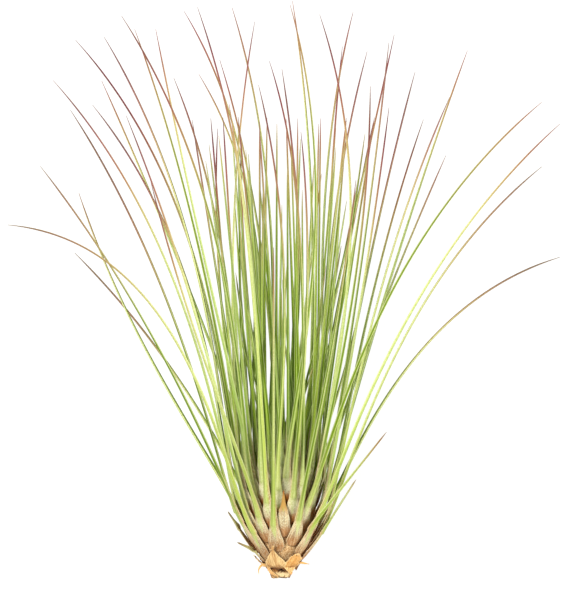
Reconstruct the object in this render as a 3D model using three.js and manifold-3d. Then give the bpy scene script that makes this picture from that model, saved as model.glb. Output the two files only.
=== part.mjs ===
// A festucoides air plant, a tuft of rush-like leaves on a scaly bulb, in millimetres.
// It has no pot, so it lies on its side on a flat surface, which is z = 0.
// +Y runs from the broken end of the stem to the leaf tips, +X is to its right, +Z is up.
// The origin is the flat spot under the bulb where the plant rests.
//
// Inside the plant a point is (across, along, depth): across is X, along is the distance
// from the broken end of the stem, and depth is the height above the stem's own line.
import * as THREE from "three";
import { mergeVertices } from "three/addons/utils/BufferGeometryUtils.js";
import Module from "manifold-3d";

const wasm = await Module();
wasm.setup();
const { degToRad } = THREE.MathUtils;

// The spiral of leaves, from the oldest and outermost to the youngest
const SEPARATE_LEAVES = 56;
const YOUNG_LEAVES = 64; // they grow together in the heart
const LEAF_COUNT = SEPARATE_LEAVES + YOUNG_LEAVES;
const AGE_STEP = 1 / 96; // from one separate leaf to the next, where the whole spiral is 1
const GOLDEN_ANGLE = degToRad(137.508);
const FIRST_ANGLE = degToRad(218); // 0 points right and 90 up
const ROOT_LOW = 8;
const ROOT_HIGH = 54;
const ROOT_CROWDING = 0.85; // under 1, the youngest roots crowd together at the top

// Outer radius of the bulb: it swells from the neck and then flares slowly
const BULB_NECK = 0.5;
const BULB_SWELL = 17;
const BULB_SWELL_LENGTH = 16;
const BULB_FLARE = 0.23; // radius for each millimetre along

// The stem's line over the surface
const STEM_HEIGHT = 17; // at the broken end
const STEM_LEAN = 0.27; // rise for each millimetre along
const LYING_HEIGHT = 0.3; // middle of a leaf that is pressed to the surface
const LYING_SOFTNESS = 0.6;

// Sheaths, the broad scale-like feet of the leaves
const SHEATH_LENGTH = 13;
const SHEATH_HALF_WIDTH = 4.1;
const SHEATH_HALF_ANGLE = 0.27; // radians of the bulb that one sheath covers, each way
const SHEATH_LAP = 0.17; // how fast a sheath lifts off those inside it
const SHEATH_STATIONS = [0, 0.25, 0.5, 0.75, 1];
const SHEATH_TAPER = [1, 0.94, 0.76, 0.52, 0.28];
const SHEATH_HALF_THICKNESS = 0.32;
const SHEATH_FOLD = 0.2; // how much deeper the keel and the edges are at the sheath's upper end
const SHORT_SHEATH = 0.6; // of the length of a leaf that is too short for a whole sheath

// Blades, the long channelled part above the sheath
const BLADE_STEPS = 9;
const BLADE_HALF_WIDTH = 1.3;
const TIP_HALF_WIDTH = 0.4;
const BLADE_THICKNESS = 1.5;
const TIP_THICKNESS = 0.6;
const YOUNG_THINNER = 0.1; // how much narrower the blade of the youngest leaf is
const KEEL = 0.6; // keel, edges and groove off the middle line, in thicknesses
const EDGE = 0.35;
const GROOVE_AT_TIP = 0.4;
const GROOVE_AT_FOOT = 0.15;

// The blade's curve: it leaves its sheath more upright than the bulb flares and turned towards its tip,
// and ends with a lean
const START_OPENING = 0.8; // of the bulb's slope
const START_TURN = 0.6; // of the way to the tip, seen in plan
const START_HANDLE = 0.15; // of the run from foot to tip
const TIP_HANDLE = 0.45;
const BOW = 0.61; // of the depth of the run, under 1 the tip bends outwards
const BOW_STRAY = 0.1;

// How far the full-grown tips reach
const REACH_ACROSS = 128;
const FAN = 0.4; // under 1, the leaves in front and behind spread to the sides
const SIDE_STRAY = 70; // how far a leaf may stray to either side of that
const INNER_CLOSING = 0.8; // under 1, the inner leaves keep a spread of their own round the young ones
const REACH_UP = 100;
const SAG = 0.4; // under 1, the lower leaves hang towards the surface
const PRESS = 15; // how far the lowest tips would reach below the surface if it were not there
const TALLEST = 276;
const OUTER_DROP = 95; // how much lower the outermost tips are
const TALL_STRAY = 20;
const DEPTH_STRAY = 0.2;
const YOUNG_LONGEST = 170;
const YOUNG_SHORTEST = 35;
const YOUNG_FALL = 2; // over 1, few of the young leaves are short
const YOUNG_SPLAY = 1.8; // how far out their tips lean, in radii of their feet
const YOUNG_STRAY = 26;
const ROOTED_BY = 6; // how deep the young leaves are rooted in the core

// Tips of the full-grown leaves as they lie in plan: across, along, and the way that they point there,
// in degrees to the right of straight along
const TIPS = [
  [5, 278, -9], [4, 274, -16], [-47, 273, -31], [-40, 273, -19], [-24, 275, -17], [-13, 267, 10],
  [-76, 269, -33], [-70, 263, -20], [-60, 263, -11], [-99, 259, -42], [-85, 260, -31], [-109, 239, -42],
  [-87, 240, -24], [-91, 228, -39], [-101, 225, -33], [-74, 222, -22], [-52, 241, -22], [-40, 243, -31],
  [-30, 250, -17], [-6, 249, -18], [0, 244, -9], [-11, 236, -14], [-31, 217, 3], [-25, 227, -9],
  [-20, 211, 0], [-115, 198, -38], [-98, 186, -18], [-130, 170, -85], [-100, 157, -45], [-62, 190, -14],
  [-4, 159, 0], [18, 270, -19], [34, 272, 14], [41, 254, 15], [42, 236, 0], [54, 262, 12], [51, 257, 6],
  [64, 244, 15], [51, 226, 7], [68, 221, 19], [44, 220, 11], [89, 254, 20], [80, 231, 24], [79, 204, 24],
  [123, 228, 50], [132, 218, 48], [124, 198, 51], [134, 155, 73], [29, 256, 6], [9, 214, -6],
  [42, 154, 9], [19, 195, 7], [39, 205, 9], [35, 191, 6],
];
// Old short leaves low on the bulb: place in the spiral, how many degrees the leaf is pushed round, and
// its tip as across, along and depth
const SHORT_LEAVES = new Map([
  [0, [-58, -21.5, 17.8, 13]], [1, [24, 35.5, 48, 12]], [4, [0, 50, 71, 28]], [5, [0, -26, 32.6, 9]],
  [20, [0, 0.8, 43, 24.8]],
]);

// Core of the bulb, inside the separate sheaths
const CORE_GAP = 0.9;
const CORE_START = 7.3;
const CORE_FOOT = 5.5;
const CORE_STEP = 5;
const CORE_SIDES = 16;

// Dry sheaths, torn papery plates on a ring round the stem's neck
const DRY_THICKNESS = 0.7;
const DRY_CLEAR = 1; // between the bulb's outer radius and the plates
const DRY_ROOT = 5.6; // along the stem, where the plates part from the ring
const DRY_SUNK = 0.8; // how deep a plate's root is sunk in the ring
const NECK_SIDES = 20;
const NECK_PROFILE = [[6.6, 5.4], [7, 4.6], [7.6, 5.4], [8.4, 7], [7.7, 7.6], [6.6, 7]]; // radius, along
const PLATE_STATIONS = [0, 0.25, 0.5, 0.75, 1];
const PLATE_SIDES = [1, 0.35, -0.35, -1];
const PLATE_END = 0.04; // of its half width
// Each plate: direction and half width in degrees round the stem, how far along its tip is, how far the
// tip leans round, and how fast the plate narrows, where 1 is a triangle and less is blunt
const PLATES = [
  [109, 47, 16.3, -5, 1.9], [59, 26, 12, 2, 0.45], [172, 16, 11.5, -6, 1], [218, 26, 12.6, 8, 1.1],
  [262, 28, 13.6, -6, 1.2], [312, 24, 12.4, 6, 1],
];
// Torn flaps that hang from the ring over the stub, in the same form
const HANGING_ROOT = 6.6;
const HANGING_RADIUS = 6.9; // at the broken end
const HANGING_FLARE = 0.06;
const FLAPS = [[150, 13, 1.2, -46, 0.3], [60, 30, 1.9, -5, 1], [250, 24, 2.6, 8, 1.1], [305, 20, 3, -6, 1]];

// Two curled strips of torn sheath, from the ring outwards
const STRIP_HALF_WIDTH = 0.9;
const STRIP_THICKNESS = 0.8;
const STRIP_STEPS = 6;
const STRIPS = [
  [[-7.2, 6.6, 2.8], [-9.8, 6.6, 3.4], [-11.2, 4.6, 3.6], [-11.1, 2, 3.4]],
  [[5.6, 6.8, 4.9], [8.5, 7.9, 5.4], [11, 7.6, 5.3], [13.2, 7.2, 5]],
];

// Stem stub, the broken woody end: radius, along
const STUB_PROFILE = [[0, 0.7], [2.6, 0], [4.3, 0.3], [4.9, 1.2], [5.6, 5], [5.6, 7], [0, 7]];
const STUB_ASIDE = -0.7;

// The flat spot that the plant rests on, and a block as large as the surface under it
const REST_ACROSS = 2.8;
const REST_ALONG = 53;
const SURFACE_SIZE = 600;

// Draws that make one leaf differ from the next, the same at every run
let seed = 439;
const draw = () => {
  seed = (seed * 16807) % 2147483647;
  return seed / 2147483647 - 0.5;
};

// Outer radius of the bulb and of the leaf bases above it
const swell = (along) => Math.exp(-along / BULB_SWELL_LENGTH);
const bulbRadius = (along) => BULB_NECK + BULB_SWELL * (1 - swell(along)) + BULB_FLARE * along;
const bulbSlope = (along) => (BULB_SWELL / BULB_SWELL_LENGTH) * swell(along) + BULB_FLARE;
const stemHeight = (along) => STEM_HEIGHT + STEM_LEAN * along;

// Every leaf keeps its share of the bulb's radius at each height, so sheaths nest and never cross. Age
// runs from 0 outside to 1 in the middle, and the young leaves crowd where the separate ones end
const YOUNG_START = SEPARATE_LEAVES * AGE_STEP;
const leaves = Array.from({ length: LEAF_COUNT }, (_, i) => {
  const youngPart = (i + 0.5 - SEPARATE_LEAVES) / YOUNG_LEAVES;
  const age = youngPart < 0 ? (i + 0.5) * AGE_STEP : THREE.MathUtils.lerp(YOUNG_START, 1, youngPart);
  return {
    i,
    age,
    angle: FIRST_ANGLE + i * GOLDEN_ANGLE,
    share: Math.sqrt(1 - age),
    root: ROOT_LOW + age ** ROOT_CROWDING * (ROOT_HIGH - ROOT_LOW),
    sheath: SHEATH_LENGTH,
    liftDraw: draw(),
    tallDraw: draw(),
    bowDraw: draw(),
  };
});

// Below the stem the tips have only the room that the surface leaves, and their weight brings them down
function depthReach(angle, along) {
  const up = Math.sin(angle);
  return up > 0 ? REACH_UP * up : -(stemHeight(along) + PRESS) * (-up) ** SAG;
}

const grown = leaves.filter((leaf) => !SHORT_LEAVES.has(leaf.i)).slice(0, TIPS.length);
grown.forEach((leaf, rank) => {
  leaf.spread = Math.sqrt(1 - (INNER_CLOSING * (rank + 0.5)) / TIPS.length);
  const side = Math.cos(leaf.angle);
  leaf.across = REACH_ACROSS * leaf.spread * Math.sign(side) * Math.abs(side) ** FAN + SIDE_STRAY * leaf.bowDraw;
  leaf.along = TALLEST - OUTER_DROP * leaf.spread ** 3 + TALL_STRAY * leaf.tallDraw;
});

// Each full-grown leaf has one of the tips, swapped in pairs until none would lie nearer its own place
const miss = (leaf, tip) => (tip[0] - leaf.across) ** 2 + (tip[1] - leaf.along) ** 2;
const shared = [...TIPS];
for (let swapped = true; swapped; ) {
  swapped = false;
  grown.forEach((one, a) => {
    grown.slice(0, a).forEach((two, b) => {
      const now = miss(one, shared[a]) + miss(two, shared[b]);
      if (miss(one, shared[b]) + miss(two, shared[a]) < now - 1e-9) {
        [shared[a], shared[b]] = [shared[b], shared[a]];
        swapped = true;
      }
    });
  });
}
grown.forEach((leaf, rank) => {
  const [across, along, lean] = shared[rank];
  const depth = leaf.spread * depthReach(leaf.angle, along) * (1 + DEPTH_STRAY * leaf.liftDraw);
  leaf.tip = new THREE.Vector3(across, along, depth);
  leaf.lean = degToRad(lean);
});

for (const [i, [pushed, across, along, depth]] of SHORT_LEAVES) {
  const leaf = leaves[i];
  leaf.angle += degToRad(pushed);
  leaf.sheath = Math.min(SHEATH_LENGTH, SHORT_SHEATH * (along - leaf.root));
  leaf.tip = new THREE.Vector3(across, along, depth);
}

// A point on the middle line of a sheath, x millimetres above its root
function sheathPoint(leaf, x) {
  const radius = bulbRadius(leaf.root + x) * leaf.share + SHEATH_LAP * Math.max(x, 0);
  return new THREE.Vector3(radius * Math.cos(leaf.angle), leaf.root + x, radius * Math.sin(leaf.angle));
}

const young = leaves.filter((leaf) => !leaf.tip);
young.forEach((leaf, rank) => {
  const foot = sheathPoint(leaf, leaf.sheath);
  const fall = (rank / (young.length - 1)) ** YOUNG_FALL;
  const length = THREE.MathUtils.lerp(YOUNG_LONGEST, YOUNG_SHORTEST, fall);
  leaf.tip = new THREE.Vector3(
    foot.x * YOUNG_SPLAY + YOUNG_STRAY * leaf.tallDraw,
    foot.y + length,
    foot.z * YOUNG_SPLAY + YOUNG_STRAY * leaf.liftDraw,
  );
});

// The blade's middle line, from its sheath to its tip. A leaf without a lean of its own ends straight
function bladeCurve(leaf) {
  const foot = sheathPoint(leaf, leaf.sheath);
  const run = leaf.tip.clone().sub(foot);
  const slope = START_OPENING * bulbSlope(foot.y) * leaf.share;
  const aside = THREE.MathUtils.lerp(slope * Math.cos(leaf.angle), run.x / run.y, START_TURN);
  const start = new THREE.Vector3(aside, 1, slope * Math.sin(leaf.angle));
  const lean = leaf.lean ?? Math.atan2(run.x, run.y);
  const back = TIP_HANDLE * run.length();
  return new THREE.CubicBezierCurve3(
    foot,
    foot.clone().addScaledVector(start.normalize(), START_HANDLE * run.length()),
    new THREE.Vector3(
      leaf.tip.x - back * Math.sin(lean),
      leaf.tip.y - back * Math.cos(lean),
      foot.z + (BOW + BOW_STRAY * leaf.bowDraw) * run.z,
    ),
    leaf.tip,
  );
}

// Plan and depth to the finished place: nothing sinks below a leaf that lies on the surface. The
// height is a soft maximum of the free one and of zero, ln(1 + e^over), in a form that never overflows
function laid(point) {
  const over = (stemHeight(point.y) + point.z - LYING_HEIGHT) / LYING_SOFTNESS;
  const height = Math.max(over, 0) + Math.log1p(Math.exp(-Math.abs(over)));
  return new THREE.Vector3(point.x, point.y, LYING_HEIGHT + LYING_SOFTNESS * height);
}

// One closed solid through rings of points that run the same way round. Each end is closed by quads
// from one half of its ring to the other, so a ring may be a bent band
function loft(rings) {
  const size = rings[0].length;
  const last = (rings.length - 1) * size;
  const faces = [];
  for (let a = 0; a < last; a += size) {
    for (let j = 0; j < size; j++) {
      const k = (j + 1) % size;
      faces.push(a + j, a + k, a + k + size, a + j, a + k + size, a + j + size);
    }
  }
  for (let j = 0; j + 1 < size / 2; j++) {
    const k = size - 1 - j;
    faces.push(j, k - 1, j + 1, j, k, k - 1);
    faces.push(last + j, last + j + 1, last + k - 1, last + j, last + k - 1, last + k);
  }
  return new wasm.Manifold(
    new wasm.Mesh({
      numProp: 3,
      vertProperties: new Float32Array(rings.flat().flatMap((p) => [p.x, p.y, p.z])),
      triVerts: new Uint32Array(faces),
    }),
  );
}

// Rings of four points along a middle line: keel outside, an edge each side, groove inside
function channelRings(line, sections) {
  return line.map((point, k) => {
    const { width, keel, edge, groove } = sections[k];
    const along = line[Math.min(k + 1, line.length - 1)].clone().sub(line[Math.max(k - 1, 0)]).normalize();
    const out = new THREE.Vector3(point.x, 0, point.z - stemHeight(point.y));
    out.addScaledVector(along, -out.dot(along)).normalize();
    const side = new THREE.Vector3().crossVectors(along, out);
    const at = (s, o) => point.clone().addScaledVector(side, s).addScaledVector(out, o);
    return [at(0, keel), at(width, -edge), at(0, -groove), at(-width, -edge)];
  });
}

function leafSolid(leaf, rootedBy) {
  const line = [];
  const sections = [];
  const vigour = 1 - YOUNG_THINNER * leaf.age ** 2;
  SHEATH_STATIONS.forEach((part, k) => {
    const point = sheathPoint(leaf, part * leaf.sheath - (k ? 0 : rootedBy));
    const radius = Math.hypot(point.x, point.z);
    const full = Math.min(SHEATH_HALF_WIDTH, SHEATH_HALF_ANGLE * radius);
    const width = THREE.MathUtils.lerp(BLADE_HALF_WIDTH * vigour, full, SHEATH_TAPER[k]);
    line.push(laid(point));
    sections.push({
      width,
      keel: SHEATH_HALF_THICKNESS + SHEATH_FOLD * part,
      edge: (width * width) / (2 * radius) + SHEATH_FOLD * part,
      groove: SHEATH_HALF_THICKNESS * (1 - part / 2),
    });
  });
  const blade = bladeCurve(leaf);
  for (let k = 1; k <= BLADE_STEPS; k++) {
    const left = 1 - k / BLADE_STEPS;
    const thickness = THREE.MathUtils.lerp(TIP_THICKNESS, BLADE_THICKNESS, left);
    line.push(laid(blade.getPoint(k / BLADE_STEPS)));
    sections.push({
      width: THREE.MathUtils.lerp(TIP_HALF_WIDTH, BLADE_HALF_WIDTH * vigour, left),
      keel: thickness * KEEL,
      edge: thickness * EDGE,
      groove: thickness * THREE.MathUtils.lerp(GROOVE_AT_TIP, GROOVE_AT_FOOT, left),
    });
  }
  return loft(channelRings(line, sections));
}

// Geometry to solid and back
function solidOf(geometry) {
  const bare = geometry.clone();
  bare.deleteAttribute("normal");
  bare.deleteAttribute("uv");
  const merged = mergeVertices(bare);
  return new wasm.Manifold(
    new wasm.Mesh({
      numProp: 3,
      vertProperties: merged.attributes.position.array,
      triVerts: new Uint32Array(merged.index.array),
    }),
  );
}

function geometryOf(solid) {
  const { vertProperties, triVerts } = solid.getMesh();
  return new THREE.BufferGeometry()
    .setAttribute("position", new THREE.BufferAttribute(vertProperties, 3))
    .setIndex(new THREE.BufferAttribute(triVerts, 1));
}

// A round solid about the stem's sloping line, from [radius, along] pairs
function turned(profile, sides) {
  const points = profile.map(([radius, along]) => new THREE.Vector2(radius, along));
  const lie = new THREE.Matrix4().set(1, 0, 0, 0, 0, 1, 0, 0, 0, STEM_LEAN, 1, STEM_HEIGHT, 0, 0, 0, 1);
  return solidOf(new THREE.LatheGeometry(points, sides).applyMatrix4(lie));
}

const plant = new THREE.Group();
plant.position.set(-REST_ACROSS, -REST_ALONG, 0);

// Where the plant bears on the surface it is pressed flat
const surface = solidOf(
  new THREE.BoxGeometry(SURFACE_SIZE, SURFACE_SIZE, SURFACE_SIZE).translate(0, 0, -SURFACE_SIZE / 2),
);

function place(name, solid, material) {
  const mesh = new THREE.Mesh(geometryOf(solid.subtract(surface)), material);
  mesh.name = name;
  plant.add(mesh);
}

// Outer leaves, one solid each
const leafGreen = new THREE.MeshStandardMaterial({ color: 0x9cae52, roughness: 0.6 });
for (const leaf of leaves.slice(0, SEPARATE_LEAVES)) {
  place(`leaf_${String(leaf.i + 1).padStart(2, "0")}`, leafSolid(leaf, 0), leafGreen);
}

// Heart: the young leaves and the tight core of the bulb that they grow from
const coreRadius = (along) => {
  const age = ((along - ROOT_LOW) / (ROOT_HIGH - ROOT_LOW)) ** (1 / ROOT_CROWDING);
  return bulbRadius(along) * Math.sqrt(1 - age) - CORE_GAP;
};
const coreProfile = [[0, CORE_START], [CORE_FOOT, CORE_START]];
for (let along = ROOT_LOW + 1; along < ROOT_HIGH - 1; along += CORE_STEP) {
  coreProfile.push([coreRadius(along), along]);
}
coreProfile.push([0, ROOT_HIGH]);
const heart = leaves
  .slice(SEPARATE_LEAVES)
  .reduce((solid, leaf) => solid.add(leafSolid(leaf, ROOTED_BY)), turned(coreProfile, CORE_SIDES));
const heartGreen = new THREE.MeshStandardMaterial({ color: 0x8fa84a, roughness: 0.6 });
place("heart_leaves", heart, heartGreen);

// Dry sheaths: what is left of the oldest leaves
const dryRadius = (along) => bulbRadius(along) + DRY_CLEAR + SHEATH_LAP * Math.max(along - ROOT_LOW, 0);
const hangingRadius = (along) => HANGING_RADIUS + HANGING_FLARE * along;

function plateSolid([direction, halfWidth, tip, lean, narrowing], root, radiusAt, sunk) {
  const rings = PLATE_STATIONS.map((part, k) => {
    const along = THREE.MathUtils.lerp(root, tip, part);
    const inner = radiusAt(along) - (k ? 0 : sunk);
    const half = halfWidth * Math.max((1 - part) ** narrowing, PLATE_END);
    const at = (radius, side) => {
      const angle = degToRad(direction + lean * part * part + side * half);
      return laid(new THREE.Vector3(radius * Math.cos(angle), along, radius * Math.sin(angle)));
    };
    const outside = PLATE_SIDES.map((side) => at(inner + DRY_THICKNESS, side));
    const inside = PLATE_SIDES.map((side) => at(inner, -side));
    return [...outside, ...inside];
  });
  // A plate that hangs runs the other way, which would turn it inside out
  return loft(tip > root ? rings : rings.reverse());
}

function stripSolid(points) {
  const curve = new THREE.CatmullRomCurve3(points.map((point) => new THREE.Vector3(...point)));
  const rings = curve.getPoints(STRIP_STEPS).map((point, k) => {
    const left = 1 - k / STRIP_STEPS;
    const half = THREE.MathUtils.lerp(TIP_THICKNESS / 2, STRIP_HALF_WIDTH, left);
    const tangent = curve.getTangent(k / STRIP_STEPS);
    const side = new THREE.Vector3().crossVectors(tangent, new THREE.Vector3(0, 0, 1)).normalize();
    const out = new THREE.Vector3().crossVectors(side, tangent);
    const thick = THREE.MathUtils.lerp(TIP_THICKNESS, STRIP_THICKNESS, left) / 2;
    const at = (s, o) => laid(point.clone().addScaledVector(side, s).addScaledVector(out, o));
    return [at(0, thick), at(half, 0), at(0, -thick), at(-half, 0)];
  });
  return loft(rings);
}

const neck = turned([...NECK_PROFILE, NECK_PROFILE[0]], NECK_SIDES);
const torn = [
  ...PLATES.map((plate) => plateSolid(plate, DRY_ROOT, dryRadius, DRY_SUNK)),
  ...FLAPS.map((flap) => plateSolid(flap, HANGING_ROOT, hangingRadius, 0)),
  ...STRIPS.map(stripSolid),
];
const dry = torn.reduce((solid, piece) => solid.add(piece), neck);
const straw = new THREE.MeshStandardMaterial({ color: 0xc99a5c, roughness: 0.8 });
place("dry_sheaths", dry, straw);

// Stem stub
const wood = new THREE.MeshStandardMaterial({ color: 0x9a6a3c, roughness: 0.9 });
place("stem_stub", turned(STUB_PROFILE, CORE_SIDES).translate([STUB_ASIDE, 0, 0]), wood);

export default plant;
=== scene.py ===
import bpy
import numpy as np
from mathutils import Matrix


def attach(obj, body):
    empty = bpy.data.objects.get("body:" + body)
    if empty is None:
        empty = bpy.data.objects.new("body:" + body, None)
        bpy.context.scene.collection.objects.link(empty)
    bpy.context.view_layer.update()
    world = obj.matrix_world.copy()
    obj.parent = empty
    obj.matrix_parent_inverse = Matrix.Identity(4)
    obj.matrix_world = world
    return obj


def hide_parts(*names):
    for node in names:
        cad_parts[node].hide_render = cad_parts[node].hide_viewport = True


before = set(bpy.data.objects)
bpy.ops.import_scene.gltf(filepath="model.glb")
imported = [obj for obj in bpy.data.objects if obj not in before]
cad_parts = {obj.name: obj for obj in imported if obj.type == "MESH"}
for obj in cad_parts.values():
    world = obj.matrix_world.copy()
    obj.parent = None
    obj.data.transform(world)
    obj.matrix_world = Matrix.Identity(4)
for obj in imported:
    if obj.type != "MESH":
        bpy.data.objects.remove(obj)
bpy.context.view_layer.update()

# The plant lies on its side on the surface z = 0, its broken stem end at -Y and its leaf tips at +Y.
# Sizes below are in millimetres, and every mesh is made in metres.
MM = 0.001


# Stem stub: the stump of the woody stem, broken off below the bulb. It is fibrous, brown outside and
# pale where it tore. The whole plant grows along the line of this stem, which rises from the surface.
STEM_HEIGHT = 17  # at the broken end
STEM_LEAN = 0.27  # rise for each millimetre along
REST_ACROSS = 2.8  # the origin, the flat spot that the plant rests on, seen from the broken end
REST_ALONG = 53
STUB_ASIDE = -0.7
STUB_TOP = 7  # along, where the stub meets the bulb
STUB_TOP_RADIUS = 5.6
STUB_END_RADIUS = 4.8
STUB_HOLLOW_RADIUS = 1.0
STUB_HOLLOW_DEPTH = 2.6
STUB_OUTSIDE = 0.7  # share of the rows that lie outside, before the rim
RIM_ALONG = 0.35
RIM_RAGGED = 0.5
RIM_TORN_BACK = 0.5  # on the bared side
RIM_WORN = 0.5  # how far the rim is worn in
BARED_SIDE = 0.2  # where the bark is torn off, in turns from the right, and how far to either side
BARED_WIDTH = 0.11
BARED_LENGTH = 3.6
BARED_RAGGED = 0.7
BARED_EDGE = 0.8
DENT_DEPTH = 1.1
DENT_ALONG = 5.0
DENT_LENGTH = 1.5
BARK_LUMPS = 0.2
BARK_SPLINTERS = 0.12
STUB_ROWS = 56
STUB_SIDES = 120
TORN_CREAM = (236, 210, 162)
WOOD_TAN = (190, 136, 80)
WOOD_BROWN = (98, 52, 20)
# painted shade in the stub's hollow end and its dent
WOOD_SHADE_DARK = (36, 12, 4)


def stem_height(along):
    """Height of the stem's middle line over the surface: height at its end + lean along."""
    return STEM_HEIGHT + STEM_LEAN * along


def in_frame(points):
    """Points as (across, along, height) from the broken stem end to metres in the part's frame."""
    return (np.asarray(points) - (REST_ACROSS, REST_ALONG, 0)) * MM


def round_stem(radius, along, turns, aside=0):
    """Points round the stem's line: aside + r cos a, along, the line's height + r sin a, a = 2 pi turns."""
    radians = 2 * np.pi * turns
    across = aside + radius * np.cos(radians)
    height = stem_height(along) + radius * np.sin(radians)
    return np.stack(np.broadcast_arrays(across, along, height), axis=-1)


def closed_skin(rows, columns, start=0):
    """Faces over a grid that closes on itself sideways, with a pole point before it and one after it.

    Point (r, c) is number start + 1 + r * columns + c. A quad joins (r, c), (r+1, c), (r+1, c+1) and
    (r, c+1), and a fan of triangles joins each pole to the row next to it.
    """
    grid = start + 1 + np.arange(rows * columns).reshape(rows, columns)
    turn = np.roll(grid, -1, axis=1)
    quads = np.stack([grid[:-1], grid[1:], turn[1:], turn[:-1]], axis=-1).reshape(-1, 4)
    first = np.stack([np.full(columns, start), grid[0], turn[0]], axis=-1)
    last = np.stack([np.full(columns, start + 1 + rows * columns), turn[-1], grid[-1]], axis=-1)
    return quads.tolist() + first.tolist() + last.tolist()


def with_poles(values, first, last):
    """A grid of values as one list, with the first pole's value before it and the last pole's after it."""
    values = np.asarray(values, float)
    flat = values.reshape(-1, values.shape[-1]) if values.ndim == 3 else values.reshape(-1)
    return np.concatenate([[first], flat, [last]])


def add_piece(name, points, faces, material, slot, node, **attributes):
    """A smooth mesh piece in the part's frame, with its values at each point, that stands for a CAD node."""
    mesh = bpy.data.meshes.new(name)
    mesh.from_pydata(points.tolist(), [], faces)
    mesh.shade_smooth()
    mesh.materials.append(material)
    for key, values in attributes.items():
        mesh.attributes.new(key, "FLOAT", "POINT").data.foreach_set("value", values.astype(np.float32))
    piece = bpy.data.objects.new(name, mesh)
    bpy.context.scene.collection.objects.link(piece)
    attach(piece, "root")
    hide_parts(node)
    return piece


def ragged(x, knots, seed):
    """A torn edge over x from 0 to 1: straight lines between knots at random heights from -1 to 1."""
    heights = np.random.default_rng(seed).uniform(-1, 1, knots)
    return np.interp(x, np.linspace(0, 1, knots + 1), np.append(heights, heights[0]))


def rolling(u, v, seed, waves=5):
    """A soft random relief: the mean of sin((1 + 3 a) u +- (1 + 3 b) v + phase), with a and b from 0 to 1."""
    total = 0
    for a, b, sign, phase in np.random.default_rng(seed).uniform(0, 1, (waves, 4)):
        total = total + np.sin((1 + 3 * a) * u + (1 + 3 * b) * v * np.sign(sign - 0.5) + 2 * np.pi * phase)
    return total / waves


def colour(red, green, blue):
    """A colour as a screen shows it, 0 to 255 a channel, in the linear values that a shader takes."""
    share = np.array([red, green, blue]) / 255
    linear = np.where(share <= 0.04045, share / 12.92, ((share + 0.055) / 1.055) ** 2.4)
    return (*linear.tolist(), 1.0)


class Wire:
    """A value, colour or vector in a material's nodes. Arithmetic on values adds Math nodes."""

    def __init__(self, tree, socket=None):
        self.tree = tree
        self.socket = socket

    def fill(self, node, inputs):
        """Sets a node's inputs by name or number, each to a value or to a wire that is linked into it."""
        for key, value in inputs.items():
            if isinstance(value, Wire):
                self.tree.links.new(value.socket, node.inputs[key])
            else:
                node.inputs[key].default_value = value

    def node(self, kind, settings, inputs, output=0):
        """Adds a node: its kind, its settings or a ramp's stops, its inputs, and the output that goes on."""
        node = self.tree.nodes.new("ShaderNode" + kind)
        for key, value in settings.items():
            if key == "stops":
                ramp = node.color_ramp.elements
                while len(ramp) < len(value):
                    ramp.new(1.0)
                for stop, (place, tint) in zip(ramp, value):
                    stop.position = place
                    stop.color = colour(*tint)
            else:
                setattr(node, key, value)
        self.fill(node, inputs)
        return Wire(self.tree, node.outputs[output])

    def math(self, operation, *others):
        return self.node("Math", {"operation": operation}, dict(enumerate((self, *others))))

    def __add__(self, other):
        return self.math("ADD", other)

    def __sub__(self, other):
        return self.math("SUBTRACT", other)

    def __rsub__(self, other):
        return self.math("MULTIPLY_ADD", -1.0, other)

    def __mul__(self, other):
        return self.math("MULTIPLY", other)

    __radd__ = __add__
    __rmul__ = __mul__

    def step(self, low, high):
        """A mask that rises smoothly from 0 at low to 1 at high, or falls if low is the larger."""
        limits = {"Value": self, "From Min": low, "From Max": high}
        return self.node("MapRange", {"interpolation_type": "SMOOTHSTEP"}, limits)

    def mix(self, under, over):
        """The colour under where this mask is 0 and the colour over where it is 1."""
        layers = [layer if isinstance(layer, Wire) else colour(*layer) for layer in (under, over)]
        return self.node("Mix", {"data_type": "RGBA"}, {0: self, 6: layers[0], 7: layers[1]}, 2)

    def attribute(self, name):
        """The mesh's own value of that name."""
        return self.node("Attribute", {"attribute_name": name}, {}, "Fac")

    def place(self, scale):
        """Object coordinates in millimetres, times a scale along X, Y and Z."""
        at = self.node("TexCoord", {}, {}, "Object")
        factors = [s / MM for s in scale]
        return self.node("VectorMath", {"operation": "MULTIPLY"}, {0: at, 1: factors})

    def vector(self, x, y, z):
        return self.node("CombineXYZ", {}, {0: x, 1: y, 2: z})

    def noise(self, at, detail, roughness=0.5):
        """Soft noise from 0 to 1 at a vector, with grains about 1 across."""
        inputs = {"Vector": at, "Scale": 1.0, "Detail": detail, "Roughness": roughness}
        return self.node("TexNoise", {}, inputs)


def new_material(name, **constants):
    """A new material whose shader has those constant values, as its first wire and that shader."""
    material = bpy.data.materials.new(name)
    material.use_nodes = True
    shader = material.node_tree.nodes["Principled BSDF"]
    start = Wire(material.node_tree)
    start.fill(shader, constants)
    return material, start, shader


def bumped(start, height, depth):
    """A normal from a height of 0 to 1 that stands for a depth in millimetres."""
    return start.node("Bump", {}, {"Strength": 1.0, "Distance": depth * MM, "Height": height}, "Normal")


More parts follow.
